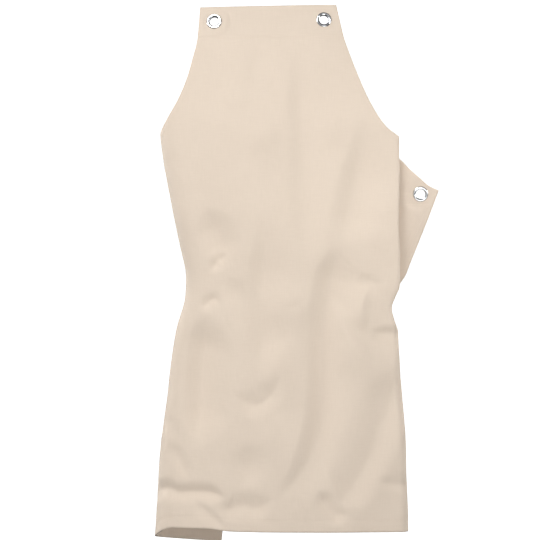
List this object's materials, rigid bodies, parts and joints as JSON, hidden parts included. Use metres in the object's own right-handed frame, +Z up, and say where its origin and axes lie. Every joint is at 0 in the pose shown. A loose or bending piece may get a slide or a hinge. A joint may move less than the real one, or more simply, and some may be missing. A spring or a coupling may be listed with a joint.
{
  "type": "bib apron",
  "caption": "Plain woven bib apron without straps, in its worn form: narrow bib with a top band, curved armholes, wide skirt that wraps back at one side, and metal eyelets for straps and ties.",
  "frame": {"origin": "midway between the two top eyelets, on the cloth's centre line, where the apron hangs from the neck", "axes": "+X to the viewer's right as seen from the front, +Y from the front to the wearer's back, +Z up"},
  "size_m": [0.456, 0.1748, 0.8749],
  "materials": {
    "cotton_outside": "matte plain weave",
    "cotton_inside": "matte plain weave",
    "nickel": "polished"
  },
  "bodies": {
    "root": {"apron_panel": "cotton_outside", "bib_band": "cotton_inside", "bottom_hem": "cotton_inside", "armhole_hem_left": "cotton_inside", "armhole_hem_right": "cotton_inside", "waist_facing_left": "cotton_inside", "waist_facing_right": "cotton_inside", "side_hem_left": "cotton_inside", "side_hem_right": "cotton_inside", "eyelet_bib_left": "nickel", "eyelet_bib_right": "nickel", "eyelet_waist_left": "nickel", "eyelet_waist_right": "nickel", "washer_bib_left": "nickel", "washer_bib_right": "nickel", "washer_waist_left": "nickel", "washer_waist_right": "nickel"}
  },
  "joints": []
}
